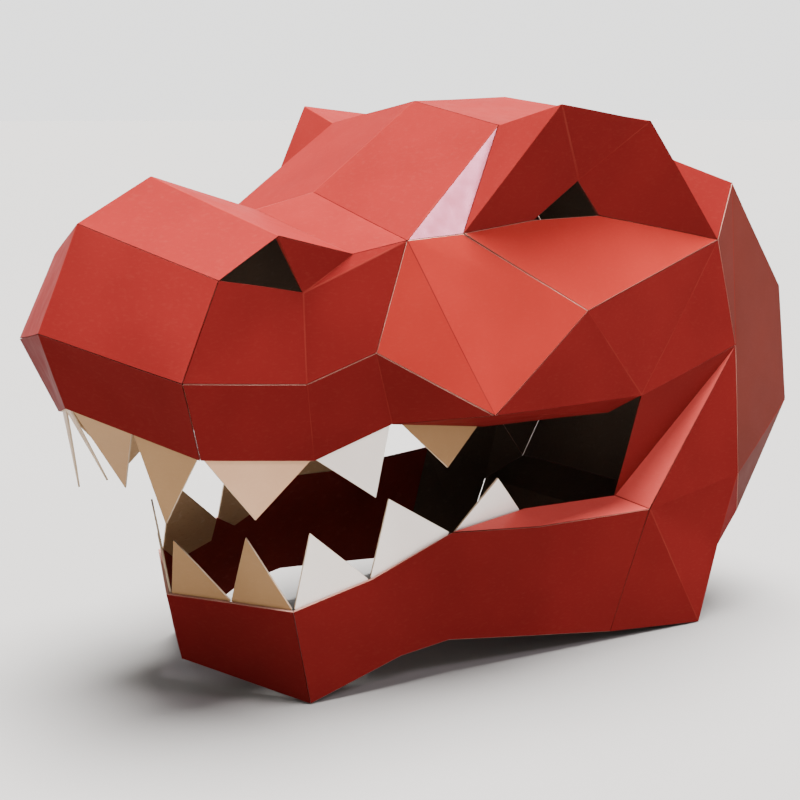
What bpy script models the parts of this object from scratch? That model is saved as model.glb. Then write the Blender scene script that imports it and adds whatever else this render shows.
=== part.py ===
"""Dinosaur head mask folded from flat card, in metres, +Z up.

The head faces -Y, x = 0 is its plane of symmetry and it stands on z = 0 with its
origin under the middle of its length. Every piece is a group of flat panels that
share one table of corners. Each panel is laid on the outside of the head, the card
is thickened inwards, and neighbouring pieces keep a fine seam between them. The
mouth, the eyes, the nostrils and the whole underside are open.
"""
from collections import namedtuple

import bmesh
import bpy
import numpy as np

# Driving sizes of the head
HEAD_LENGTH = 0.456      # nose tip to nape
HEAD_HEIGHT = 0.311      # table to crown
SNOUT_WIDTH = 0.175      # across the muzzle corners
CHEEK_WIDTH = 0.234      # across the cheekbones
SKULL_WIDTH = 0.209      # across the temples and the nape
BROW_WIDTH = 0.232       # across the two brow peaks
JAW_WIDTH = 0.207        # across the rear corners of the lower lip

# Card and joints
SKIN_CARD = 0.0015       # wall of the coloured skin
TOOTH_CARD = 0.0010      # wall of the white teeth
SEAM_GAP = 0.0003        # clear seam between two pieces
TOOTH_LENGTH = 0.036     # drop of a full tooth from its lip
TAB_DEPTH = 0.011        # glue tab of a tooth, behind its lip

# Colours
RED_CARD = (0.47, 0.052, 0.035)
CREAM_CARD = (0.80, 0.66, 0.50)

# Corner: out is a share of half the table's width, back of the length from the nose
# tip, up of the height
Corner = namedtuple("Corner", "out back up")

SNOUT_CORNERS = {
    "nose_tip":      Corner(0.00, 0.000, 0.630),
    "lip_tip":       Corner(0.00, 0.028, 0.505),
    "nose_brow":     Corner(0.00, 0.050, 0.798),
    "nose_top":      Corner(0.00, 0.142, 0.870),
    "muzzle":        Corner(1.00, 0.064, 0.580),
    "lip_corner":    Corner(0.87, 0.098, 0.450),
    "nostril_front": Corner(0.98, 0.112, 0.725),
    "nostril_top":   Corner(0.97, 0.185, 0.785),
    "nostril_rear":  Corner(0.92, 0.223, 0.694),
    "lip_mid_top":   Corner(0.96, 0.221, 0.552),
    "lip_mid":       Corner(0.83, 0.246, 0.415),
}

CHEEK_CORNERS = {
    "cheek_front":   Corner(0.79, 0.300, 0.594),
    "lip_rear":      Corner(0.72, 0.337, 0.465),
    "cheek_low":     Corner(1.00, 0.427, 0.481),
    "cheek_peak":    Corner(1.00, 0.569, 0.636),
    "cheek_rear":    Corner(0.95, 0.679, 0.470),
    "roof_front":    Corner(0.66, 0.485, 0.430),
    "roof_rear":     Corner(0.75, 0.674, 0.427),
}

SKULL_CORNERS = {
    "bridge_front":  Corner(0.00, 0.278, 0.808),
    "bridge_side":   Corner(0.78, 0.286, 0.750),
    "bridge_back":   Corner(0.00, 0.360, 0.833),
    "brow_root":     Corner(0.86, 0.346, 0.768),
    "forehead":      Corner(0.00, 0.514, 0.992),
    "crown":         Corner(0.00, 0.668, 1.000),
    "brow_inner":    Corner(0.72, 0.508, 0.950),
    "eye_front":     Corner(0.90, 0.420, 0.774),
    "eye_hole_front": Corner(0.90, 0.528, 0.789),
    "eye_hole_top":  Corner(0.93, 0.592, 0.854),
    "eye_hole_rear": Corner(0.90, 0.635, 0.790),
    "lid_fold":      Corner(0.95, 0.585, 0.872),
    "eye_rear":      Corner(0.99, 0.830, 0.736),
    "jaw_hinge":     Corner(1.01, 0.866, 0.534),
    "nape_top":      Corner(0.92, 0.873, 0.841),
    "nape_mid":      Corner(0.90, 0.985, 0.631),
    "nape_low":      Corner(0.93, 1.000, 0.402),
}

BROW_CORNERS = {
    "brow_peak":     Corner(1.00, 0.522, 0.984),
    "brow_rear":     Corner(0.92, 0.690, 0.955),
}

JAW_CORNERS = {
    "chin_top":      Corner(0.00, 0.145, 0.162),
    "chin_bottom":   Corner(0.00, 0.163, 0.039),
    "jaw_front_top": Corner(0.68, 0.220, 0.167),
    "jaw_front_low": Corner(0.68, 0.241, 0.000),
    "jaw_bend_top":  Corner(0.76, 0.315, 0.200),
    "jaw_bend_low":  Corner(0.78, 0.354, 0.055),
    "jaw_dip_low":   Corner(0.81, 0.422, 0.065),
    "gum_front":     Corner(0.82, 0.423, 0.259),
    "gum_mid":       Corner(0.89, 0.548, 0.243),
    "gum_rear":      Corner(1.00, 0.717, 0.244),
    "gum_inner":     Corner(0.73, 0.558, 0.263),
    "gum_inner_rear": Corner(0.81, 0.698, 0.262),
    "jaw_rear_low":  Corner(0.95, 0.663, 0.016),
    "neck_rim_low":  Corner(1.05, 0.807, 0.000),
    "neck_low":      Corner(1.03, 0.845, 0.142),
    "neck_back":     Corner(0.94, 0.906, 0.188),
    "neck_side":     Corner(1.05, 0.875, 0.279),
}

CORNER_TABLES = (
    (SNOUT_WIDTH, SNOUT_CORNERS),
    (CHEEK_WIDTH, CHEEK_CORNERS),
    (SKULL_WIDTH, SKULL_CORNERS),
    (BROW_WIDTH, BROW_CORNERS),
    (JAW_WIDTH, JAW_CORNERS),
)

# Panels are listed for the left half, counterclockwise seen from outside. A panel
# with more than three corners is folded open from its first corner.
MIDDLE_PIECES = {
    "muzzle": (
        ("nose_brow", "nose_tip", "muzzle", "nostril_front"),
    ),
    "front_lip": (
        ("nose_tip", "lip_tip", "lip_corner", "muzzle"),
    ),
    "snout_top": (
        ("nose_top", "nose_brow", "nostril_front", "nostril_top"),
        ("nose_top", "nostril_top", "bridge_side", "bridge_front"),
    ),
    "bridge": (
        ("bridge_front", "bridge_side", "brow_root", "bridge_back"),
    ),
    "forehead": (
        ("bridge_back", "brow_root", "brow_inner", "forehead"),
        ("brow_root", "eye_front", "brow_inner"),
    ),
    "skull_top": (
        ("forehead", "brow_inner", "crown"),
        ("crown", "brow_inner", "brow_rear"),
        ("crown", "brow_rear", "eye_rear", "nape_top"),
    ),
    "nape": (),
    "neck": (),
    "chin": (
        ("chin_top", "chin_bottom", "jaw_front_low", "jaw_front_top"),
    ),
}

SIDE_PIECES = {
    "snout_side": (
        ("muzzle", "lip_mid_top", "nostril_rear", "nostril_front"),
        ("nostril_top", "nostril_rear", "bridge_side"),
        ("nostril_rear", "lip_mid_top", "cheek_front", "brow_root", "bridge_side"),
    ),
    "side_lip": (
        ("muzzle", "lip_corner", "lip_mid", "lip_mid_top"),
        ("lip_mid_top", "lip_mid", "lip_rear", "cheek_front"),
        ("cheek_front", "lip_rear", "cheek_low"),
    ),
    "brow": (
        ("brow_inner", "eye_front", "brow_peak"),
        ("brow_peak", "eye_front", "eye_hole_front", "eye_hole_top", "lid_fold"),
        ("brow_peak", "lid_fold", "brow_rear"),
        ("brow_rear", "lid_fold", "eye_hole_top", "eye_hole_rear", "eye_rear"),
        ("brow_inner", "brow_peak", "brow_rear"),
    ),
    "eye_pouch": (
        ("cheek_peak", "eye_rear", "eye_hole_rear", "eye_hole_front", "eye_front"),
    ),
    "cheek": (
        ("cheek_front", "cheek_low", "brow_root"),
        ("brow_root", "cheek_low", "cheek_peak", "eye_front"),
    ),
    "jowl": (
        ("cheek_peak", "cheek_low", "cheek_rear"),
        ("cheek_peak", "cheek_rear", "eye_rear"),
        ("eye_rear", "cheek_rear", "jaw_hinge"),
    ),
    "upper_gum": (
        ("lip_rear", "roof_front", "cheek_low"),
        ("cheek_low", "roof_front", "roof_rear", "cheek_rear"),
    ),
    "nape_side": (
        ("nape_top", "eye_rear", "jaw_hinge", "nape_mid"),
        ("jaw_hinge", "neck_side", "nape_low", "nape_mid"),
        ("nape_low", "neck_side", "neck_back"),
    ),
    "jaw_side": (
        ("jaw_front_top", "jaw_front_low", "jaw_bend_low", "jaw_bend_top"),
        ("gum_front", "jaw_bend_top", "jaw_bend_low", "jaw_dip_low", "jaw_rear_low"),
        ("gum_mid", "gum_front", "jaw_rear_low", "gum_rear"),
    ),
    "jaw_rear": (
        ("gum_rear", "jaw_rear_low", "neck_rim_low"),
        ("gum_rear", "neck_rim_low", "neck_low", "neck_side", "jaw_hinge"),
        ("neck_side", "neck_low", "neck_back"),
    ),
    "lower_gum": (
        ("gum_front", "gum_mid", "gum_inner"),
        ("gum_mid", "gum_rear", "gum_inner_rear", "gum_inner"),
        ("gum_rear", "jaw_hinge", "cheek_rear", "gum_inner_rear"),
    ),
}

# Panels that reach from the left corners to the right ones
ACROSS = {
    "skull_top": (("crown", "nape_top"),),
    "nape": (("nape_top", "nape_mid"), ("nape_mid", "nape_low"), ("nape_low", "neck_back")),
    "neck": (("neck_back", "neck_low"), ("neck_low", "neck_rim_low")),
}

# Tab: the glue tab's far edge, from and to as shares of the tooth's base, and its
# depth as a share of TAB_DEPTH
Tab = namedtuple("Tab", "start end depth")
LIP_TAB = Tab(0.18, 0.82, 1.00)
CORNER_TAB = Tab(0.62, 0.88, 0.55)

# Tooth: its lip edge runs from corner first to corner last; start, end and point are
# shares of that edge, length is a share of TOOTH_LENGTH, and bend turns the tooth off
# its lip panel, in degrees, inwards if positive
Tooth = namedtuple("Tooth", "first last start end point length bend tab")

TEETH = {
    "upper_tooth_1": Tooth("lip_tip", "lip_corner", 0.030, 0.485, 0.33, 1.17, 8, LIP_TAB),
    "upper_tooth_2": Tooth("lip_tip", "lip_corner", 0.495, 0.965, 0.77, 1.17, -10, LIP_TAB),
    "upper_tooth_3": Tooth("lip_corner", "lip_mid", 0.045, 0.990, 0.59, 0.86, -10, LIP_TAB),
    "upper_tooth_4": Tooth("lip_mid", "lip_rear", 0.020, 0.985, 0.56, 1.00, -10, LIP_TAB),
    "upper_tooth_5": Tooth("lip_rear", "roof_front", 0.080, 0.970, 0.57, 0.67, -90, CORNER_TAB),
    "lower_tooth_1": Tooth("chin_top", "jaw_front_top", 0.030, 0.500, 0.11, 0.86, 0, LIP_TAB),
    "lower_tooth_2": Tooth("chin_top", "jaw_front_top", 0.510, 0.975, 0.69, 1.03, 0, LIP_TAB),
    "lower_tooth_3": Tooth("jaw_front_top", "jaw_bend_top", 0.040, 0.985, 0.41, 1.00, 0, LIP_TAB),
    "lower_tooth_4": Tooth("jaw_bend_top", "gum_front", 0.015, 0.985, 0.475, 0.96, 0, LIP_TAB),
    "lower_tooth_5": Tooth("gum_front", "gum_inner", 0.060, 0.970, 0.455, 0.80, -90, CORNER_TAB),
}

# Skin: the corners' places, the pieces' triangles, all walked edges and the inward steps
Skin = namedtuple("Skin", "points pieces edges mitre")

LEFT, RIGHT = 1, -1
SIDE_NAMES = {LEFT: "left", RIGHT: "right"}


def clear_scene():
    """Remove what the scene holds."""
    for obj in list(bpy.data.objects):
        bpy.data.objects.remove(obj, do_unlink=True)


def corner_points():
    """Place every corner of both halves from the tables of shares."""
    points = {}
    for width, table in CORNER_TABLES:
        for name, corner in table.items():
            for side in (LEFT, RIGHT):
                x = side * corner.out * width / 2
                y = (corner.back - 0.5) * HEAD_LENGTH
                points[corner_key(name, side)] = np.array((x, y, corner.up * HEAD_HEIGHT))
    return points


def on_middle(name):
    """Say whether a corner lies in the plane of symmetry."""
    return any(name in table and table[name].out == 0.0 for _, table in CORNER_TABLES)


def corner_key(name, side):
    """Name a corner on one side; a corner of the middle is the same on both."""
    return (name, 0) if on_middle(name) else (name, side)


def fan(keys):
    """Split a panel into triangles from its first corner."""
    return [(keys[0], keys[i], keys[i + 1]) for i in range(1, len(keys) - 1)]


def side_triangles(panels, side):
    """Triangles of a list of panels on one side of the head."""
    triangles = []
    for panel in panels:
        for triangle in fan([corner_key(name, side) for name in panel]):
            triangles.append(triangle if side == LEFT else triangle[::-1])
    return triangles


def across_triangles(pairs):
    """Triangles of the panels that cross the plane of symmetry."""
    triangles = []
    for top, low in pairs:
        keys = [corner_key(top, LEFT), corner_key(low, LEFT),
                corner_key(low, RIGHT), corner_key(top, RIGHT)]
        triangles += fan(list(dict.fromkeys(keys)))
    return triangles


def skin_pieces():
    """Every piece of the skin, as a list of triangles of corner keys."""
    pieces = {}
    for name, panels in MIDDLE_PIECES.items():
        both = side_triangles(panels, LEFT) + side_triangles(panels, RIGHT)
        pieces[name] = both + across_triangles(ACROSS.get(name, ()))
    for name, panels in SIDE_PIECES.items():
        for side in (LEFT, RIGHT):
            pieces[f"{name}_{SIDE_NAMES[side]}"] = side_triangles(panels, side)
    return pieces


def unit(vector):
    """Scale a vector to length one."""
    return vector / np.linalg.norm(vector)


def triangle_normal(points, triangle):
    """Outward normal of a triangle."""
    a, b, c = (points[key] for key in triangle)
    return unit(np.cross(b - a, c - a))


def mitres(points, triangles):
    """Step inwards at each corner that moves every panel there by one wall."""
    normals = {}
    for triangle in triangles:
        normal = triangle_normal(points, triangle)
        for key in triangle:
            normals.setdefault(key, []).append(normal)
    flat = 0.12          # below this share of the main direction, panels count as level
    return {key: np.linalg.lstsq(np.array(rows), np.ones(len(rows)), rcond=flat)[0]
            for key, rows in normals.items()}


def directed_edges(triangles):
    """Each edge of a list of triangles in the direction it is walked."""
    return {(t[i], t[(i + 1) % 3]): t for t in triangles for i in range(3)}


def rim_steps(points, triangles, seams, mitre):
    """Step that draws each rim corner back from the seams it lies on."""
    edges = directed_edges(triangles)
    pulls = {}
    for (a, b), triangle in edges.items():
        if (b, a) in edges:
            continue
        inward = unit(np.cross(triangle_normal(points, triangle), points[b] - points[a]))
        distance = SEAM_GAP / 2 if (a, b) in seams else 0.0
        for key in (a, b):
            pulls.setdefault(key, []).append((inward, distance))
    steps = {}
    for key, rows in pulls.items():
        matrix = [inward for inward, _ in rows] + [unit(mitre[key])]
        target = [distance for _, distance in rows] + [0.0]
        steps[key] = np.linalg.lstsq(np.array(matrix), np.array(target), rcond=0.05)[0]
    return steps


def rim_faces(a, b, inner_of, from_a):
    """Cut edge of one rim, split the same way on both sides of a seam."""
    if from_a:
        return [(b, a, b + inner_of), (a, a + inner_of, b + inner_of)]
    return [(b, a, a + inner_of), (b, a + inner_of, b + inner_of)]


def card_solid(points, triangles, mitre, wall, steps):
    """Closed solid of folded card: outer faces, inner faces and the cut edges."""
    keys = list(dict.fromkeys(key for triangle in triangles for key in triangle))
    index = {key: i for i, key in enumerate(keys)}
    outer = [points[key] + steps.get(key, 0.0) for key in keys]
    inner = [place - wall * mitre[key] for place, key in zip(outer, keys)]
    inner_of = len(keys)
    faces = [tuple(index[key] for key in t) for t in triangles]
    faces += [tuple(index[key] + inner_of for key in t[::-1]) for t in triangles]
    edges = directed_edges(triangles)
    for a, b in edges:
        if (b, a) not in edges:
            faces += rim_faces(index[a], index[b], inner_of, a < b)
    return np.array(outer + inner), faces


def lay_out_skin():
    """Lay the outside of the whole head out, before it is cut into solids."""
    points = corner_points()
    pieces = skin_pieces()
    everything = [triangle for triangles in pieces.values() for triangle in triangles]
    return Skin(points, pieces, directed_edges(everything), mitres(points, everything))


def skin_solids(skin):
    """Solids of the coloured skin, one for each piece."""
    seams = {edge for edge in skin.edges if edge[::-1] in skin.edges}
    solids = {}
    for name, triangles in skin.pieces.items():
        steps = rim_steps(skin.points, triangles, seams, skin.mitre)
        solids[name] = card_solid(skin.points, triangles, skin.mitre, SKIN_CARD, steps)
    return solids


def tooth_solid(skin, tooth, side):
    """A tooth: one triangle of card with a glue tab behind its lip."""
    start, end = corner_key(tooth.first, side), corner_key(tooth.last, side)
    panel = skin.edges.get((start, end)) or skin.edges[(end, start)]
    normal = triangle_normal(skin.points, panel)
    first, last = skin.points[start], skin.points[end]
    along = unit(last - first)
    run = np.linalg.norm(last - first)
    middle = sum(skin.points[key] for key in panel) / len(panel)
    away = -unit((middle - first) - along * np.dot(middle - first, along))
    overhang = max(0.0, *(-SKIN_CARD * np.dot(skin.mitre[key], away) for key in (start, end)))
    seat = first + away * (overhang + SEAM_GAP) - normal * (SKIN_CARD + SEAM_GAP)
    bend = np.radians(tooth.bend)
    fall = away * np.cos(bend) - normal * np.sin(bend)
    base_start = seat + along * tooth.start * run
    base_end = seat + along * tooth.end * run
    tab_edge = -away * tooth.tab.depth * TAB_DEPTH
    corners = {
        "start": base_start,
        "end": base_end,
        "point": seat + along * tooth.point * run + fall * tooth.length * TOOTH_LENGTH,
        "tab_start": base_start + (base_end - base_start) * tooth.tab.start + tab_edge,
        "tab_end": base_start + (base_end - base_start) * tooth.tab.end + tab_edge,
    }
    panels = [("start", "point", "end"), ("start", "end", "tab_end"),
              ("start", "tab_end", "tab_start")]
    if np.dot(triangle_normal(corners, panels[1]), normal) < 0:
        panels = [panel[::-1] for panel in panels]
    return card_solid(corners, panels, mitres(corners, panels), TOOTH_CARD, {})


def tooth_solids(skin):
    """Solids of all teeth."""
    return {f"{name}_{SIDE_NAMES[side]}": tooth_solid(skin, tooth, side)
            for name, tooth in TEETH.items() for side in (LEFT, RIGHT)}


def card_material(name, colour):
    """Matt coloured card."""
    material = bpy.data.materials.new(name)
    material.use_nodes = True
    shader = material.node_tree.nodes["Principled BSDF"]
    shader.inputs["Base Color"].default_value = (*colour, 1.0)
    shader.inputs["Roughness"].default_value = 0.55
    shader.inputs["Metallic"].default_value = 0.0
    return material


def add_object(name, solid, material, parent):
    """Put a solid in the scene, with its origin at the middle of its corners."""
    vertices, faces = solid
    middle = vertices.mean(axis=0)
    mesh = bpy.data.meshes.new(name)
    mesh.from_pydata((vertices - middle).tolist(), [], faces)
    work = bmesh.new()
    work.from_mesh(mesh)
    bmesh.ops.recalc_face_normals(work, faces=work.faces)
    work.to_mesh(mesh)
    work.free()
    mesh.materials.append(material)
    obj = bpy.data.objects.new(name, mesh)
    obj.location = middle
    obj.parent = parent
    bpy.context.scene.collection.objects.link(obj)
    return obj


def set_down(solids):
    """Lift or lower all solids together until the lowest corner is on z = 0."""
    lowest = min(vertices[:, 2].min() for vertices, _ in solids.values())
    return {name: (vertices - (0.0, 0.0, lowest), faces)
            for name, (vertices, faces) in solids.items()}


def main():
    """Build the whole mask."""
    clear_scene()
    layout = lay_out_skin()
    skin = skin_solids(layout)
    teeth = tooth_solids(layout)
    red = card_material("red_card", RED_CARD)
    cream = card_material("cream_card", CREAM_CARD)
    head = bpy.data.objects.new("head_origin", None)
    bpy.context.scene.collection.objects.link(head)
    for name, solid in set_down({**skin, **teeth}).items():
        add_object(name, solid, red if name in skin else cream, head)


main()
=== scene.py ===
"""Dinosaur head mask of folded card, dressed for its picture.

Every piece of card is rebuilt from its solid: the coloured side, the raw side and the
cut edge are told apart, the folds are rolled, the cut edges show their pale core, and
the whole head springs a little, as glued card does.
"""
import logging
import math
from dataclasses import dataclass, field, replace
from enum import Enum

import bmesh
import bpy
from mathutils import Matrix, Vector, noise


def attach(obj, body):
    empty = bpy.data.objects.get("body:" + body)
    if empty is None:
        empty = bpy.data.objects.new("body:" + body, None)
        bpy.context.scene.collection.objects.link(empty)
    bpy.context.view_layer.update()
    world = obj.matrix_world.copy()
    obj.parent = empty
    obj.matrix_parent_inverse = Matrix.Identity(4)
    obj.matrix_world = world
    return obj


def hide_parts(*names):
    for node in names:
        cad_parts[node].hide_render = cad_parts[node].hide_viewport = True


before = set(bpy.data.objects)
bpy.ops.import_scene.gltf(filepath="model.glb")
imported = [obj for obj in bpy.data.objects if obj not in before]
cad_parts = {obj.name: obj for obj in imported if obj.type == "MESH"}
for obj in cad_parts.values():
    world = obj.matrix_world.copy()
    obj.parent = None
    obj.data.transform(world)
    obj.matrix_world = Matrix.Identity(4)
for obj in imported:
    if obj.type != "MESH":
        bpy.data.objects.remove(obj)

LOG = logging.getLogger("mask")
BODY = "root"
SPRING_SEED = 7

MERGE_REACH = 0.00001
ROUND_PROFILE = 0.5
AREA_WEIGHT = 50

Colour = tuple[float, float, float]
Row = tuple[float, float, float]
Span = tuple[float, float]


class Side(Enum):
    """Sides of a piece of card, numbered as its material slots."""

    FACE = 0
    BACK = 1
    EDGE = 2
    FOLD = 3
    # Slot of a lighter copy of the card, glossy or not: painted highlight on panels that face a given way.
    GLOSS = 4


class Facing(Enum):
    """Way that the coloured side of a piece of card looks."""

    FRONT = (0.0, -1.0, 0.0)
    REAR = (0.0, 1.0, 0.0)
    UP = (0.0, 0.0, 1.0)
    DOWN = (0.0, 0.0, -1.0)
    LEFT = (1.0, 0.0, 0.0)
    RIGHT = (-1.0, 0.0, 0.0)


class Hand(Enum):
    """The two sides of the head, with the way that each looks outwards."""

    LEFT = Facing.LEFT
    RIGHT = Facing.RIGHT

    @property
    def word(self) -> str:
        """Ending of the names of pieces on this side."""
        return self.name.lower()


@dataclass(frozen=True)
class Mottle:
    """Cloudy pattern in a finish.

    Attributes:
        size: length of one cloud in metres.
        layers: how many finer layers it has.
        stretch: how much longer it is along x, y and z.
        shown: lowest and highest value of the pattern that count.
        strength: how much the highest value does.
    """

    size: float
    layers: float
    stretch: Row = (1.0, 1.0, 1.0)
    shown: Span = (0.0, 1.0)
    strength: float = 1.0


CLOUDS = Mottle(0.055, 4.0, shown=(0.30, 0.72))
SPECKS = Mottle(0.0011, 5.0, (2.6, 2.6, 1.0), (0.52, 0.82), 0.055)
WORN_PATCHES = Mottle(0.030, 6.0, shown=(0.40, 0.62))
TOUCHED_SPOTS = Mottle(0.012, 4.0, shown=(0.3, 0.7))
BUCKLES = Mottle(0.070, 1.0)
STREAKS = Mottle(0.0016, 4.0, (6.0, 6.0, 1.0))
RAW_CLOUDS = Mottle(0.045, 5.0, shown=(0.35, 0.70), strength=0.5)
FLECKS = Mottle(0.0009, 6.0, (3.5, 3.5, 1.0), (0.56, 0.80), 0.8)
HAIRS = Mottle(0.00153, 6.0, (1.0, 4.0, 1.6), (0.58, 0.84), 0.7)
FLOOR_CLOUDS = Mottle(0.40, 3.0)


class ShaderSketch:
    """Node tree of one material, with short ways to add nodes to it."""

    def __init__(self, name: str) -> None:
        """Start a material from its principled shader.

        Args:
            name: name of the material.
        """
        self.material = bpy.data.materials.new(name)
        self.material.use_nodes = True
        self.nodes = self.material.node_tree.nodes
        self.links = self.material.node_tree.links
        self.shader = self.nodes["Principled BSDF"]
        self.place = self.nodes.new("ShaderNodeTexCoord").outputs["Object"]

    def noise(self, mottle: Mottle) -> bpy.types.NodeSocket:
        """Add the raw noise of a cloudy pattern.

        Args:
            mottle: the pattern.

        Returns:
            The noise's value.
        """
        mapping = self.nodes.new("ShaderNodeMapping")
        mapping.inputs["Scale"].default_value = [1.0 / (mottle.size * share) for share in mottle.stretch]
        self.links.new(self.place, mapping.inputs["Vector"])
        cloud = self.nodes.new("ShaderNodeTexNoise")
        cloud.inputs["Scale"].default_value = 1.0
        cloud.inputs["Detail"].default_value = mottle.layers
        self.links.new(mapping.outputs["Vector"], cloud.inputs["Vector"])
        return cloud.outputs["Fac"]

    def spread(self, value: bpy.types.NodeSocket, source: Span, target: Span) -> bpy.types.NodeSocket:
        """Map a range of a value to another range.

        Args:
            value: value to map.
            source: lowest and highest value that count.
            target: what they become.

        Returns:
            The mapped value.
        """
        ranger = self.nodes.new("ShaderNodeMapRange")
        for socket, number in zip(ranger.inputs[1:5], (*source, *target)):
            socket.default_value = number
        self.links.new(value, ranger.inputs["Value"])
        return ranger.outputs["Result"]

    def share(self, mottle: Mottle, raw: bpy.types.NodeSocket | None = None) -> bpy.types.NodeSocket:
        """Turn a cloudy pattern into a share from 0 to its strength.

        Args:
            mottle: the pattern.
            raw: its raw noise, if it is there already.

        Returns:
            The share.
        """
        if raw is None:
            raw = self.noise(mottle)
        return self.spread(raw, mottle.shown, (0.0, mottle.strength))

    def blend(self, share: bpy.types.NodeSocket, low: Colour | bpy.types.NodeSocket,
              high: Colour) -> bpy.types.NodeSocket:
        """Blend two colours.

        Args:
            share: how much of the high colour.
            low: colour at share 0, fixed or from another node.
            high: colour at share 1.

        Returns:
            The blended colour.
        """
        mixer = self.nodes.new("ShaderNodeMix")
        mixer.data_type = "RGBA"
        self.links.new(share, mixer.inputs[0])
        if isinstance(low, tuple):
            mixer.inputs[6].default_value = (*low, 1.0)
        else:
            self.links.new(low, mixer.inputs[6])
        mixer.inputs[7].default_value = (*high, 1.0)
        return mixer.outputs[2]

    def bump(self, height: bpy.types.NodeSocket, depth: float,
             below: bpy.types.NodeSocket | None = None) -> bpy.types.NodeSocket:
        """Add relief.

        Args:
            height: height of the relief, from 0 to 1.
            depth: its depth in metres.
            below: relief that it lies on.

        Returns:
            The bent normal.
        """
        node = self.nodes.new("ShaderNodeBump")
        node.inputs["Strength"].default_value = 1.0
        node.inputs["Distance"].default_value = depth
        self.links.new(height, node.inputs["Height"])
        if below is not None:
            self.links.new(below, node.inputs["Normal"])
        return node.outputs["Normal"]

    def feed(self, socket: str, value: bpy.types.NodeSocket) -> None:
        """Join a value to a socket of the shader."""
        self.links.new(value, self.shader.inputs[socket])

    def set(self, socket: str, value: float | tuple[float, ...]) -> None:
        """Set a socket of the shader."""
        self.shader.inputs[socket].default_value = value


@dataclass(frozen=True)
class SatinCard:
    """Coated side of card: even colour, faint clouds, fine fibres and a satin gleam."""

    name: str
    colour: Colour
    cloud: Colour
    worn: Colour
    wear: float = 0.0
    roughness: float = 0.40
    gleam: float = 0.002
    fibre: float = 0.000018
    buckle: float = 0.0011
    # Gleam tint; away from white it paints the colour of a reflection.
    tint: Colour = (1.0, 1.0, 1.0)
    touched: Span = (-0.03, 0.05)

    def material(self) -> bpy.types.Material:
        """Build the finish, or find it if it is there.

        Returns:
            The material.
        """
        if self.name in bpy.data.materials:
            return bpy.data.materials[self.name]
        sketch = ShaderSketch(self.name)
        colour = sketch.blend(sketch.share(CLOUDS), self.colour, self.cloud)
        colour = sketch.blend(sketch.share(SPECKS), colour, self.worn)
        if self.wear:
            patches = replace(WORN_PATCHES, strength=self.wear)
            colour = sketch.blend(sketch.share(patches), colour, self.worn)
        sketch.feed("Base Color", colour)
        dullness = tuple(self.roughness + change for change in self.touched)
        sketch.feed("Roughness", sketch.spread(sketch.noise(TOUCHED_SPOTS), TOUCHED_SPOTS.shown, dullness))
        sketch.set("Specular IOR Level", self.gleam)
        sketch.set("Specular Tint", (*self.tint, 1.0))
        buckles = sketch.bump(sketch.noise(BUCKLES), self.buckle)
        streaks = sketch.bump(sketch.noise(STREAKS), self.fibre, buckles)
        sketch.feed("Normal", streaks)
        return sketch.material


@dataclass(frozen=True)
class RawCard:
    """Uncoated side or cut edge of card: dull, mottled, with darker and paler fibres.

    Its grain is the size of the fibres, as a share of those of the raw side.
    """

    name: str
    colour: Colour
    dark_fibre: Colour
    pale_fibre: Colour
    grain: float = 1.0
    fibre: float = 0.00005
    roughness: float = 0.85
    gleam: float = 0.25

    def material(self) -> bpy.types.Material:
        """Build the finish, or find it if it is there.

        Returns:
            The material.
        """
        if self.name in bpy.data.materials:
            return bpy.data.materials[self.name]
        sketch = ShaderSketch(self.name)
        colour = sketch.blend(sketch.share(RAW_CLOUDS), self.colour, self.dark_fibre)
        flecks = sketch.noise(replace(FLECKS, size=FLECKS.size * self.grain))
        colour = sketch.blend(sketch.share(FLECKS, flecks), colour, self.dark_fibre)
        hairs = replace(HAIRS, size=HAIRS.size * self.grain)
        colour = sketch.blend(sketch.share(hairs), colour, self.pale_fibre)
        sketch.feed("Base Color", colour)
        sketch.set("Roughness", self.roughness)
        sketch.set("Specular IOR Level", self.gleam)
        sketch.feed("Normal", sketch.bump(flecks, self.fibre))
        return sketch.material


FINE_GRAIN = 4.0 / 9.0
BARE_EDGE = 0.00022

RED = SatinCard("red_satin_card", (0.125, 0.0100, 0.0092), (0.106, 0.0084, 0.0078), (0.30, 0.10, 0.07))
# Crease finish of the red card: worn pale patches, on a slightly lighter red that is painted highlight
# along the folds.
RED_CREASE_WORN_PAINTED_HIGHLIGHT = SatinCard("red_crease", (0.140, 0.0125, 0.0110), (0.115, 0.0096, 0.0085),
                       (0.20, 0.040, 0.028), wear=0.20)
# Glossier copy of the red card for one panel of the forehead: its gloss is real, its lighter colour is
# painted highlight and its lilac gleam tint paints the colour of a reflection.
RED_GLOSS_PAINTED_SHEEN = SatinCard("red_burnished_card", (0.170, 0.0150, 0.0125), (0.145, 0.0125, 0.0105),
                      (0.30, 0.10, 0.08), roughness=0.27, gleam=0.80, buckle=0.0006,
                      tint=(1.0, 0.52, 0.74))
# Lighter copy of the red card: painted light on the cheeks and eye pouches, which face the light.
RED_PAINTED_LIGHT = SatinCard("faded_satin_card", (0.265, 0.0205, 0.0160), (0.225, 0.0170, 0.0132),
                  (0.36, 0.13, 0.09))
# Much lighter, pinker copy of the red card with a little gloss: painted highlight on gum panels that look
# up.
GUM_PAINTED_HIGHLIGHT = SatinCard("gum_satin_card", (0.440, 0.0550, 0.0470), (0.380, 0.0450, 0.0385),
                (0.55, 0.24, 0.18), gleam=0.10)
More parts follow.
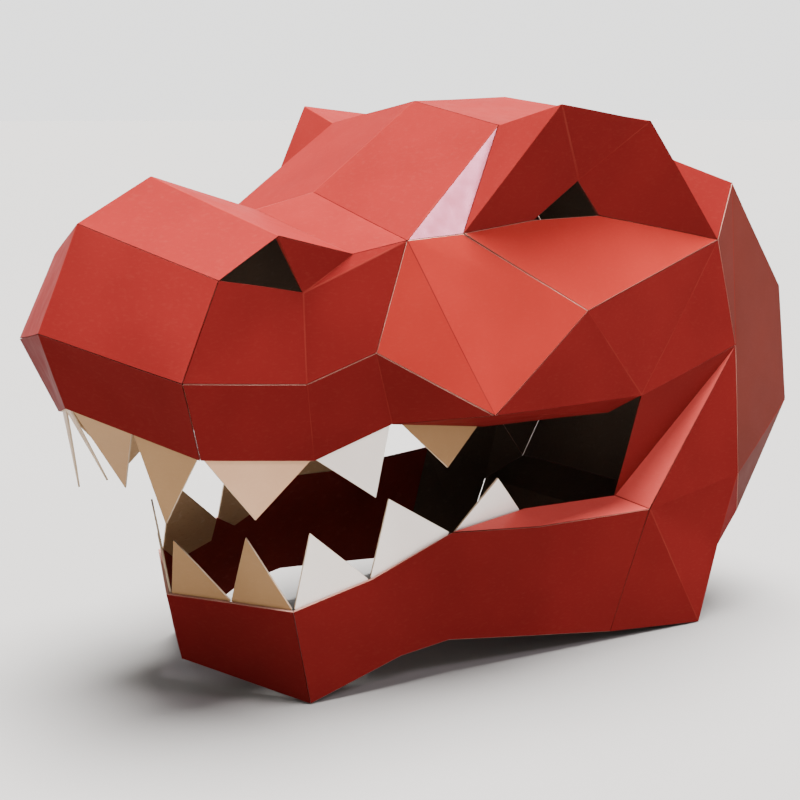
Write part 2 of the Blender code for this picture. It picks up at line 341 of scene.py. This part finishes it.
# Darker, greyer copy of the red card, a little rougher: painted shade and sheen for the nape sides.
DULL_PAINTED_SHADE = SatinCard("dull_satin_card", (0.088, 0.0150, 0.0105), (0.074, 0.0125, 0.0088),
                 (0.22, 0.085, 0.060), roughness=0.48, gleam=0.03)
RED_BACK = RawCard("red_raw_side", (0.230, 0.0230, 0.0150), (0.150, 0.0145, 0.0100),
                   (0.300, 0.0600, 0.0430))
BROWN_BACK = RawCard("brown_raw_side", (0.115, 0.078, 0.054), (0.072, 0.049, 0.035),
                     (0.170, 0.125, 0.092))
RED_CORE = RawCard("red_card_core", (0.100, 0.0110, 0.0070), (0.070, 0.0080, 0.0050),
                   (0.160, 0.0350, 0.0250), grain=FINE_GRAIN)
PALE_CORE = RawCard("pale_card_core", (0.40, 0.20, 0.155), (0.26, 0.09, 0.065), (0.52, 0.36, 0.30),
                    grain=FINE_GRAIN)
CREAM = SatinCard("cream_satin_card", (0.86, 0.80, 0.74), (0.80, 0.73, 0.66), (0.92, 0.88, 0.84),
                  roughness=0.34, gleam=0.5, buckle=0.0009)
CREAM_CREASE = SatinCard("cream_crease", (0.88, 0.84, 0.78), (0.82, 0.76, 0.68),
                         (0.93, 0.90, 0.86), wear=0.4, roughness=0.5)
# Warmer, darker copies of the cream card: painted shade on teeth that face away from the light, half for
# one tooth and full for the rest.
CREAM_PAINTED_HALF_SHADE = SatinCard("warm_satin_card", (0.62, 0.37, 0.215), (0.54, 0.31, 0.170), (0.84, 0.68, 0.52),
                 roughness=0.38, gleam=0.2, buckle=0.0009)
CREAM_PAINTED_SHADE = SatinCard("tan_satin_card", (0.35, 0.200, 0.090), (0.29, 0.160, 0.070), (0.56, 0.40, 0.26),
                roughness=0.40, gleam=0.12, buckle=0.0009)
CREAM_CREASE_PAINTED_SHADE = SatinCard("tan_crease", (0.54, 0.38, 0.24), (0.44, 0.29, 0.16), (0.68, 0.55, 0.41),
                       wear=0.4, roughness=0.5)
KRAFT = RawCard("kraft_raw_side", (0.52, 0.330, 0.180), (0.36, 0.215, 0.110), (0.66, 0.47, 0.31))
KRAFT_EDGE = RawCard("kraft_cut_edge", (0.52, 0.40, 0.28), (0.36, 0.25, 0.16), (0.66, 0.55, 0.42),
                     grain=FINE_GRAIN)


@dataclass(frozen=True)
class CardStock:
    """Kind of card: its finishes, how tightly it folds and how bare its cut edge is."""

    slot: str
    face: SatinCard
    back: RawCard
    edge: RawCard
    crease: SatinCard
    # Lighter copy of the face: painted highlight for panels that face a given way.
    gloss: SatinCard
    fold_radius: float
    bare_edge: float

    def materials(self) -> list[bpy.types.Material]:
        """List the finishes in the order of the sides of the card."""
        finishes = (self.face, self.back, self.edge, self.crease, self.gloss)
        return [finish.material() for finish in finishes]


RED_LINED = CardStock("red_card", RED, RED_BACK, RED_CORE, RED_CREASE_WORN_PAINTED_HIGHLIGHT, RED_GLOSS_PAINTED_SHEEN, 0.00050, 0.00006)
RED_LINED_WORN = replace(RED_LINED, edge=PALE_CORE, bare_edge=BARE_EDGE)
RED_ON_BROWN = replace(RED_LINED, back=BROWN_BACK)
# Red card whose second finish is the pink painted highlight of the gum.
GUM_PAINTED_HIGHLIGHT_LINED = replace(RED_LINED, gloss=GUM_PAINTED_HIGHLIGHT)
# Darker red, painted shade and sheen, on brown, with worn cut edges.
DULL_PAINTED_SHADE_ON_BROWN_WORN = replace(RED_ON_BROWN, face=DULL_PAINTED_SHADE, edge=PALE_CORE, bare_edge=BARE_EDGE)
# Red card made lighter, painted light, on brown, with worn cut edges.
RED_PAINTED_LIGHT_ON_BROWN_WORN = replace(RED_ON_BROWN, face=RED_PAINTED_LIGHT, edge=PALE_CORE, bare_edge=0.00018)
CREAM_ON_KRAFT = CardStock("pale_card", CREAM, KRAFT, KRAFT_EDGE, CREAM_CREASE, CREAM, 0.00040,
                           0.00010)
# Cream teeth in painted shade, half and full.
CREAM_PAINTED_HALF_SHADE_ON_KRAFT = replace(CREAM_ON_KRAFT, face=CREAM_PAINTED_HALF_SHADE, crease=CREAM_CREASE_PAINTED_SHADE)
CREAM_PAINTED_SHADE_ON_KRAFT = replace(CREAM_ON_KRAFT, face=CREAM_PAINTED_SHADE, crease=CREAM_CREASE_PAINTED_SHADE)


@dataclass
class CardPiece:
    """One piece of folded card.

    Attributes:
        node: solid that the piece stands for.
        facing: way that its coloured side looks.
        stock: kind of card.
        longest_wall: longest edge that still counts as the card's thickness, in metres.
        level: bend in degrees under which two panels count as one.
        soft: bend in degrees under which a fold is only a soft swell.
        mesh_step: longest edge after the panels are divided, in metres.
        rounds: how often the panels are divided at most.
        fold_steps: how many strips a rolled fold has.
        gloss_way: way that the panels of the left half look that have the second finish, a lighter copy of
            the card that is painted highlight.
        upright_worn: whether cut edges that stand upright show their pale core too.
        cross_folded: whether its steep fold runs along its panel's other diagonal.
    """

    node: str
    facing: Facing
    stock: CardStock
    longest_wall: float = 0.0045
    level: float = 0.4
    soft: float = 7.0
    mesh_step: float = 0.016
    rounds: int = 5
    fold_steps: int = 3
    gloss_way: Row | None = None
    upright_worn: bool = True
    cross_folded: bool = False

    def build(self) -> bpy.types.Object:
        """Build the piece and put it in place of its solid.

        Returns:
            The dressed piece.
        """
        work = bmesh.new()
        work.from_mesh(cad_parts[self.node].data)
        bmesh.ops.remove_doubles(work, verts=work.verts, dist=MERGE_REACH)
        self._tell_sides(work)
        if self.cross_folded:
            self._cross_fold(work)
        self._join_level_panels(work)
        self._roll_folds(work)
        self._bare_cut_edges(work)
        self._divide(work)
        self._spring(work)
        self._mark_sharp(work)
        mesh = bpy.data.meshes.new(f"{self.node}_card")
        work.to_mesh(mesh)
        work.free()
        for material in self.stock.materials():
            mesh.materials.append(material)
        piece = bpy.data.objects.new(f"{self.node}_card", mesh)
        bpy.context.scene.collection.objects.link(piece)
        smoother = piece.modifiers.new("level_panels", "WEIGHTED_NORMAL")
        smoother.keep_sharp = True
        smoother.weight = AREA_WEIGHT
        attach(piece, BODY)
        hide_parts(self.node)
        LOG.info("%s: %d faces", piece.name, len(mesh.polygons))
        return piece

    def _tell_sides(self, work: bmesh.types.BMesh) -> None:
        """Give each face its side: cut edge, coloured side or raw side.

        Args:
            work: mesh of the solid.
        """
        flat = []
        for face in work.faces:
            thin = min(edge.calc_length() for edge in face.edges) < self.longest_wall
            face.material_index = Side.EDGE.value
            if not thin:
                flat.append(face)
            elif not self.upright_worn and self._upright(face):
                face.material_index = Side.FOLD.value
        left = set(flat)
        sheets = []
        while left:
            sheet, queue = [], [left.pop()]
            while queue:
                face = queue.pop()
                sheet.append(face)
                for edge in face.edges:
                    for other in edge.link_faces:
                        if other in left:
                            left.remove(other)
                            queue.append(other)
            sheets.append(sheet)
        for sheet in sheets:
            look = sum((face.normal * face.calc_area() for face in sheet), Vector())
            side = Side.FACE if look.dot(Vector(self.facing.value)) > 0.0 else Side.BACK
            for face in sheet:
                face.material_index = side.value
        if self.gloss_way is not None:
            self._burnish(flat)
        sides = [sheet[0].material_index for sheet in sheets]
        if len(sides) != 2 or Side.BACK.value not in sides:
            LOG.warning("%s: its sheets are %s", self.node, sides)

    @staticmethod
    def _upright(face: bmesh.types.BMFace) -> bool:
        """Say whether a cut edge stands more upright than level.

        Args:
            face: the cut edge.

        Returns:
            True if it does.
        """
        longest = max(face.edges, key=lambda edge: edge.calc_length())
        along = longest.verts[1].co - longest.verts[0].co
        return abs(along.normalized().z) > math.sin(math.radians(45.0))

    def _burnish(self, faces: list[bmesh.types.BMFace]) -> None:
        """Give the second finish, a lighter copy of the card that is painted highlight, to panels that
        look the given way, on both halves.

        Args:
            faces: panels of the piece.
        """
        aim, nearly = Vector(self.gloss_way).normalized(), 0.97
        for face in faces:
            way = Vector((abs(face.normal.x), face.normal.y, face.normal.z))
            if face.material_index == Side.FACE.value and way.dot(aim) > nearly:
                face.material_index = Side.GLOSS.value

    def _cross_fold(self, work: bmesh.types.BMesh) -> None:
        """Fold the steep panel inwards along its other diagonal, on both sides of the card.

        The half of the panel that then looks up gets the second finish, a lighter copy of the card that is
        painted highlight.

        Args:
            work: mesh of the piece.
        """
        steep = math.sin(math.radians(60.0))
        folds = []
        for edge in work.edges:
            along = (edge.verts[1].co - edge.verts[0].co).normalized()
            same_side = any(self._between(edge, {side}, {side}) for side in (Side.FACE, Side.BACK))
            if same_side and abs(along.z) > steep:
                folds.append(edge)
        for edge in folds:
            turned = bmesh.utils.edge_rotate(edge)
            for face in turned.link_faces:
                face.normal_update()
                if face.material_index == Side.FACE.value and face.normal.z > 0.0:
                    face.material_index = Side.GLOSS.value

    def _join_level_panels(self, work: bmesh.types.BMesh) -> None:
        """Join the triangles of each flat panel.

        Args:
            work: mesh of the piece.
        """
        bmesh.ops.dissolve_limit(work, angle_limit=math.radians(self.level), verts=work.verts,
                                 edges=work.edges, delimit={"MATERIAL"})

    @staticmethod
    def _between(edge: bmesh.types.BMEdge, one: set[Side], other: set[Side]) -> bool:
        """Say whether an edge parts two kinds of side.

        Args:
            edge: edge to test.
            one: sides allowed on one side of it.
            other: sides allowed on the other.

        Returns:
            True if it does.
        """
        if len(edge.link_faces) != 2:
            return False
        first, second = (Side(face.material_index) for face in edge.link_faces)
        return (first in one and second in other) or (first in other and second in one)

    def _roll_folds(self, work: bmesh.types.BMesh) -> None:
        """Round the folds of the coloured side.

        Args:
            work: mesh of the piece.
        """
        face = {Side.FACE, Side.GLOSS}
        folds = [edge for edge in work.edges if self._between(edge, face, face)
                 and edge.calc_face_angle() > math.radians(self.soft)]
        if folds:
            bmesh.ops.bevel(work, geom=folds, offset=self.stock.fold_radius, offset_type="OFFSET",
                            segments=self.fold_steps, profile=ROUND_PROFILE, affect="EDGES",
                            clamp_overlap=False, material=Side.FOLD.value)

    def _bare_cut_edges(self, work: bmesh.types.BMesh) -> None:
        """Wear the coloured side back along the cut edges.

        Args:
            work: mesh of the piece.
        """
        rims = [edge for edge in work.edges
                if self._between(edge, {Side.FACE, Side.FOLD, Side.GLOSS}, {Side.EDGE})]
        bmesh.ops.bevel(work, geom=rims, offset=self.stock.bare_edge, offset_type="OFFSET",
                        segments=1, profile=ROUND_PROFILE, affect="EDGES",
                        clamp_overlap=False, material=Side.EDGE.value)

    def _divide(self, work: bmesh.types.BMesh) -> None:
        """Divide the panels, so that they can spring.

        Args:
            work: mesh of the piece.
        """
        bmesh.ops.triangulate(work, faces=work.faces)
        for _ in range(self.rounds):
            long_edges = [edge for edge in work.edges if edge.calc_length() > self.mesh_step]
            if not long_edges:
                break
            bmesh.ops.subdivide_edges(work, edges=long_edges, cuts=1)
            bmesh.ops.triangulate(work, faces=[face for face in work.faces if len(face.verts) > 3])

    @staticmethod
    def _spring(work: bmesh.types.BMesh) -> None:
        """Bend the card a little, the same way on both sides of every seam.

        Args:
            work: mesh of the piece.
        """
        swell, reach, table_clear = 0.085, 0.0008, 0.030
        for vertex in work.verts:
            lift = min(1.0, max(0.0, vertex.co.z / table_clear))
            vertex.co += noise.noise_vector(vertex.co / swell) * reach * lift

    def _mark_sharp(self, work: bmesh.types.BMesh) -> None:
        """Shade the card smooth, but for its cut edges and its inner creases.

        Args:
            work: mesh of the piece.
        """
        outer = {Side.FACE, Side.FOLD, Side.GLOSS}
        back = {Side.BACK}
        corner = math.radians(60.0)
        for face in work.faces:
            face.smooth = True
        for edge in work.edges:
            crease = (self._between(edge, back, back)
                      and edge.calc_face_angle() > math.radians(self.soft))
            rim = (self._between(edge, outer, {Side.EDGE})
                   or self._between(edge, back, {Side.EDGE, Side.FOLD})
                   or self._between(edge, {Side.FOLD}, outer) and edge.calc_face_angle() > corner)
            edge.smooth = not (crease or rim)


def sided(stocks: dict[str, CardStock]) -> list[CardPiece]:
    """List pieces that the head has on both sides and that look outwards.

    Args:
        stocks: kind of card of each piece, by its name without the ending.

    Returns:
        The pieces, left one first.
    """
    return [CardPiece(f"{name}_{hand.word}", hand.value, stock)
            for name, stock in stocks.items() for hand in Hand]


@dataclass
class Snout:
    """Upper jaw from the nose tip to the bridge."""

    middle: dict[str, Facing] = field(default_factory=lambda: {
        "muzzle": Facing.FRONT,
        "front_lip": Facing.FRONT,
        "snout_top": Facing.UP,
        "bridge": Facing.UP,
    })
    sides: dict[str, CardStock] = field(default_factory=lambda: {
        "snout_side": RED_LINED,
        "side_lip": RED_LINED_WORN,
    })
    stock: CardStock = RED_LINED
    lip: str = "front_lip"
    lip_fold: float = 25.0

    def build(self) -> None:
        """Build every piece of the snout."""
        pieces = [CardPiece(name, facing, self.stock) for name, facing in self.middle.items()]
        for piece in pieces + sided(self.sides):
            piece.upright_worn = False
            if piece.node == self.lip:
                piece.soft = self.lip_fold
            piece.build()


@dataclass
class Skull:
    """Forehead, brows, cheeks, and the back of the head down to its rim."""

    middle: dict[str, Facing] = field(default_factory=lambda: {
        "forehead": Facing.UP,
        "skull_top": Facing.UP,
        "nape": Facing.REAR,
        "neck": Facing.REAR,
    })
    sides: dict[str, CardStock] = field(default_factory=lambda: {
        "brow": RED_ON_BROWN,
        # Eye pouches and cheeks take the lighter red: painted light.
        "eye_pouch": RED_PAINTED_LIGHT_ON_BROWN_WORN,
        "cheek": RED_PAINTED_LIGHT_ON_BROWN_WORN,
        "jowl": RED_ON_BROWN,
        # Nape sides take the darker, greyer red: painted shade and sheen.
        "nape_side": DULL_PAINTED_SHADE_ON_BROWN_WORN,
        "jaw_rear": RED_ON_BROWN,
    })
    stock: CardStock = RED_ON_BROWN
    # Forehead panels that face this way take the glossy copy: real gloss over a painted highlight.
    burnished: str = "forehead"
    gloss_way: Row = (0.90, -0.13, 0.41)
    crisp: tuple[str, ...] = ("jowl", "nape_side")
    crisp_fold: float = 2.0

    def build(self) -> None:
        """Build every piece of the skull."""
        pieces = [CardPiece(name, facing, self.stock) for name, facing in self.middle.items()]
        for piece in pieces + sided(self.sides):
            if piece.node == self.burnished:
                piece.gloss_way = self.gloss_way
            if piece.node.startswith(self.crisp):
                piece.soft = self.crisp_fold
            piece.build()
        for hand in Hand:
            CardPiece(f"upper_gum_{hand.word}", Facing.DOWN, self.stock).build()


@dataclass
class Jaw:
    """Lower jaw, from the chin to the lower gum."""

    chin: str = "chin"
    side: str = "jaw_side"
    stock: CardStock = RED_LINED_WORN
    # Way that the lower gum panels look which take the pink painted highlight.
    gum_way: Row = (0.34, -0.04, 0.94)

    def build(self) -> None:
        """Build every piece of the lower jaw."""
        CardPiece(self.chin, Facing.FRONT, self.stock, upright_worn=False).build()
        for piece in sided({self.side: self.stock}):
            piece.upright_worn = False
            piece.build()
        for hand in Hand:
            # Up-facing gum panels and the upturned half of the cross fold take the pink painted highlight.
            CardPiece(f"lower_gum_{hand.word}", Facing.UP, GUM_PAINTED_HIGHLIGHT_LINED, gloss_way=self.gum_way,
                      cross_folded=True).build()


@dataclass
class Teeth:
    """One row of card teeth, two of them in front on each side and three at the side."""

    row: str
    front: tuple[int, ...] = (1, 2)
    side: tuple[int, ...] = (3, 4, 5)
    # Front teeth take the darker, warmer copy of the cream card: painted shade.
    stocks: dict[int, CardStock] = field(default_factory=lambda: {
        1: CREAM_PAINTED_SHADE_ON_KRAFT,
        2: CREAM_PAINTED_SHADE_ON_KRAFT,
    })

    def build(self) -> None:
        """Build every tooth of the row."""
        for hand in Hand:
            for number in self.front:
                self._tooth(number, hand, Facing.FRONT)
            for number in self.side:
                self._tooth(number, hand, hand.value)

    def _tooth(self, number: int, hand: Hand, facing: Facing) -> None:
        """Build one tooth.

        Args:
            number: its number, from the front.
            hand: side of the head.
            facing: way that its coloured side looks.
        """
        stock = self.stocks.get(number, CREAM_ON_KRAFT)
        CardPiece(f"{self.row}_tooth_{number}_{hand.word}", facing, stock).build()


@dataclass(frozen=True)
class SoftLight:
    """Square soft light that looks at the head.

    Attributes:
        name: its name.
        place: where it stands, in metres.
        size: length of its side.
        power: its power in watts.
        colour: its colour.
    """

    name: str
    place: Row
    size: float
    power: float
    colour: Colour

    def build(self, target: Vector) -> None:
        """Put the light up.

        Args:
            target: point that it looks at.
        """
        data = bpy.data.lights.new(self.name, "AREA")
        data.shape = "SQUARE"
        data.size = self.size
        data.energy = self.power
        data.color = self.colour
        light = bpy.data.objects.new(self.name, data)
        light.location = self.place
        light.rotation_euler = (target - light.location).to_track_quat("-Z", "Y").to_euler()
        bpy.context.scene.collection.objects.link(light)


@dataclass(frozen=True)
class OpenLight:
    """Wide even light from high above, as under a bright ceiling.

    Attributes:
        lean: tilt about x and y, in degrees.
        strength: light on a level surface, in watts per square metre.
        spread: width of the bright part of the ceiling, in degrees.
        colour: its colour.
    """

    lean: tuple[float, float] = (-5.0, -3.0)
    strength: float = 36.0
    spread: float = 42.0
    colour: Colour = (1.0, 0.97, 0.94)

    def build(self) -> None:
        """Put the light up."""
        data = bpy.data.lights.new("open_light", "SUN")
        data.energy = self.strength
        data.angle = math.radians(self.spread)
        data.color = self.colour
        light = bpy.data.objects.new("open_light", data)
        light.rotation_euler = [math.radians(angle) for angle in (*self.lean, 0.0)]
        bpy.context.scene.collection.objects.link(light)


@dataclass
class Studio:
    """Pale floor, soft lights and the camera."""

    target: Row = (0.0, 0.0, 0.17)
    floor_reach: float = 60.0
    floor_drop: float = 0.0004
    floor_colour: Colour = (0.165, 0.1638, 0.162)
    floor_shade: float = 0.96
    floor_roughness: float = 0.9
    dim_room: Colour = (0.22, 0.21, 0.20)
    bright_wall: Colour = (2.13, 2.12, 2.10)
    wall_way: Row = (-0.79, 0.61, 0.0)
    wall_edge: Span = (0.05, 0.75)
    low_band: Span = (0.03, 0.22)
    ceiling: OpenLight = OpenLight()
    lights: tuple[SoftLight, ...] = (
        SoftLight("side_light", (1.50, -0.42, 1.15), 0.90, 5.0, (1.0, 0.90, 0.80)),
        SoftLight("window_light", (1.17, 0.64, 1.22), 0.30, 17.0, (1.0, 0.86, 0.94)),
        SoftLight("back_light", (-1.50, 1.10, 1.35), 1.10, 6.0, (1.0, 0.93, 0.85)),
    )
    camera_place: Row = (0.6780, -0.5355, 0.3010)
    camera_turn: Row = (79.2, 0.0, 51.9)
    lens: float = 67.5
    film: float = 36.0

    def build(self) -> None:
        """Set the whole studio up."""
        self._floor()
        self._room()
        self.ceiling.build()
        for light in self.lights:
            light.build(Vector(self.target))
        self._camera()
        LOG.info("studio: %d lights", len(self.lights))

    def _floor(self) -> None:
        """Lay the floor."""
        reach = self.floor_reach
        corners = [(-reach, -reach), (reach, -reach), (reach, reach), (-reach, reach)]
        mesh = bpy.data.meshes.new("floor")
        mesh.from_pydata([(x, y, -self.floor_drop) for x, y in corners], [], [(0, 1, 2, 3)])
        sketch = ShaderSketch("pale_floor")
        shade = tuple(self.floor_shade * part for part in self.floor_colour)
        sketch.feed("Base Color", sketch.blend(sketch.noise(FLOOR_CLOUDS), self.floor_colour, shade))
        sketch.set("Roughness", self.floor_roughness)
        mesh.materials.append(sketch.material)
        floor = bpy.data.objects.new("floor", mesh)
        bpy.context.scene.collection.objects.link(floor)

    def _room(self) -> None:
        """Close the room: dim above, bright low down and on the wall behind the head."""
        world = bpy.data.worlds.new("room")
        world.use_nodes = True
        nodes, links = world.node_tree.nodes, world.node_tree.links
        towards = nodes.new("ShaderNodeVectorMath")
        towards.operation = "DOT_PRODUCT"
        towards.inputs[1].default_value = self.wall_way
        links.new(nodes.new("ShaderNodeTexCoord").outputs["Generated"], towards.inputs[0])
        share = self._ease(nodes, (*self.wall_edge, 0.0, 1.0))
        links.new(towards.outputs["Value"], share.inputs["Value"])
        height = nodes.new("ShaderNodeSeparateXYZ")
        links.new(towards.inputs[0].links[0].from_socket, height.inputs["Vector"])
        low = self._ease(nodes, (*self.low_band, 1.0, 0.0))
        links.new(height.outputs["Z"], low.inputs["Value"])
        either = nodes.new("ShaderNodeMath")
        either.operation = "MAXIMUM"
        links.new(share.outputs["Result"], either.inputs[0])
        links.new(low.outputs["Result"], either.inputs[1])
        mixer = nodes.new("ShaderNodeMix")
        mixer.data_type = "RGBA"
        mixer.inputs[6].default_value = (*self.dim_room, 1.0)
        mixer.inputs[7].default_value = (*self.bright_wall, 1.0)
        links.new(either.outputs["Value"], mixer.inputs[0])
        links.new(mixer.outputs[2], nodes["Background"].inputs["Color"])
        bpy.context.scene.world = world

    @staticmethod
    def _ease(nodes: bpy.types.Nodes, numbers: tuple[float, ...]) -> bpy.types.Node:
        """Add a soft step.

        Args:
            nodes: nodes of the room.
            numbers: where it starts and ends, and its value there.

        Returns:
            The node.
        """
        step = nodes.new("ShaderNodeMapRange")
        step.interpolation_type = "SMOOTHSTEP"
        for socket, number in zip(step.inputs[1:5], numbers):
            socket.default_value = number
        return step

    def _camera(self) -> None:
        """Stand the camera where the photograph was taken."""
        data = bpy.data.cameras.new("camera")
        data.lens = self.lens
        data.sensor_width = self.film
        camera = bpy.data.objects.new("camera", data)
        camera.location = self.camera_place
        camera.rotation_euler = [math.radians(angle) for angle in self.camera_turn]
        bpy.context.scene.collection.objects.link(camera)
        bpy.context.scene.camera = camera


def main() -> None:
    """Build the mask and its studio."""
    logging.basicConfig(level=logging.INFO, format="%(message)s")
    noise.seed_set(SPRING_SEED)
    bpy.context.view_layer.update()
    # Upper teeth 1, 2 and 5 take the shaded cream, tooth 3 the half-shaded cream: painted shade.
    upper = {1: CREAM_PAINTED_SHADE_ON_KRAFT, 2: CREAM_PAINTED_SHADE_ON_KRAFT, 3: CREAM_PAINTED_HALF_SHADE_ON_KRAFT, 5: CREAM_PAINTED_SHADE_ON_KRAFT}
    for assembly in (Snout(), Skull(), Jaw(), Teeth("upper", stocks=upper), Teeth("lower")):
        assembly.build()
        LOG.info("%s done", type(assembly).__name__)
    Studio().build()
    bpy.context.view_layer.update()


if __name__ == "__main__":
    main()
